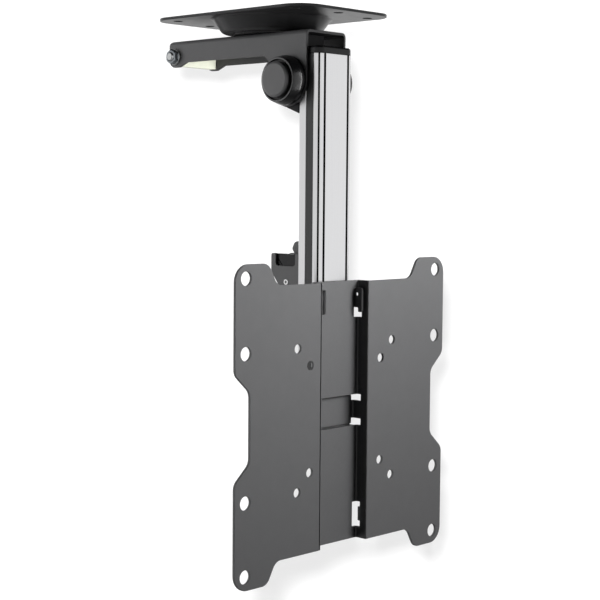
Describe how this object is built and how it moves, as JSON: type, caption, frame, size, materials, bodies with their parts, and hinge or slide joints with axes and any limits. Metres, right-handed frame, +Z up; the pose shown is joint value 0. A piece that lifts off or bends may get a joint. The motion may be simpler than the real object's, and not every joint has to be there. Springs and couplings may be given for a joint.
{
  "type": "tv ceiling mount",
  "caption": "Fold-up ceiling mount for a small flat screen: a swivel plate, a channel arm, a hinged aluminium column and a hook-on screen plate.",
  "frame": {"origin": "centre of the ceiling plate's top face, on the swivel axis", "axes": "+Z up towards the ceiling, -Y towards the viewer of the screen, +X to the right seen from the screen's front"},
  "size_m": [0.22, 0.1704, 0.3949],
  "materials": {
    "black_steel": "fine matt powder coat",
    "aluminium": "satin, fine grain along the profile",
    "zinc": "zinc plated",
    "bright_steel": "bright",
    "black_plastic": "smooth satin",
    "cream_plastic": "smooth moulded",
    "slip_plastic": "plain"
  },
  "bodies": {
    "ceiling": {"ceiling_plate": "black_steel", "swivel_bolt": "zinc", "swivel_nut": "zinc", "swivel_washer_upper": "zinc", "swivel_slip_disc": "black_plastic", "swivel_washer_lower": "zinc"},
    "arm": {"arm_channel": "black_steel", "pivot_bolt": "zinc", "pivot_nut": "zinc", "pivot_washer_left": "zinc", "pivot_washer_right": "zinc", "friction_disc_left": "slip_plastic", "friction_disc_right": "slip_plastic", "pivot_cover_left": "black_plastic", "pivot_cover_right": "black_plastic", "pivot_cap_left": "black_plastic", "pivot_cap_right": "black_plastic", "stop_bolt": "zinc", "stop_nut": "zinc", "stop_washer_left": "zinc", "stop_washer_right": "zinc", "stop_block": "cream_plastic"},
    "column": {"column_profile": "aluminium", "side_strip_left": "black_plastic", "side_strip_right": "black_plastic", "column_top_cap": "black_plastic", "column_bottom_cap": "black_plastic", "column_yoke": "black_steel", "pivot_sleeve": "zinc", "yoke_screws": "zinc", "yoke_nut_bar": "zinc", "catch_bracket": "black_steel", "catch_screws": "zinc", "catch_nut_bar": "zinc", "latch_pin": "bright_steel", "latch_guides": "black_plastic", "hook_head": "black_steel", "hook_head_screws": "zinc", "hook_nut_bar": "zinc", "screen_plate": "black_steel"},
    "latch": {"latch_hook": "black_steel"}
  },
  "joints": [
    {"name": "ceiling_swivel", "type": "hinge", "parent": "ceiling", "child": "arm", "pos_m": [0, 0, 0], "axis": [0, 0, 1], "continuous": true},
    {"name": "column_fold", "type": "hinge", "parent": "arm", "child": "column", "pos_m": [0, -0.0365, -0.0491], "axis": [1, 0, 0], "range_deg": [0, 90]},
    {"name": "latch_turn", "type": "hinge", "parent": "column", "child": "latch", "pos_m": [0, -0.0302, -0.1929], "axis": [1, 0, 0], "range_deg": [0, 12]}
  ]
}
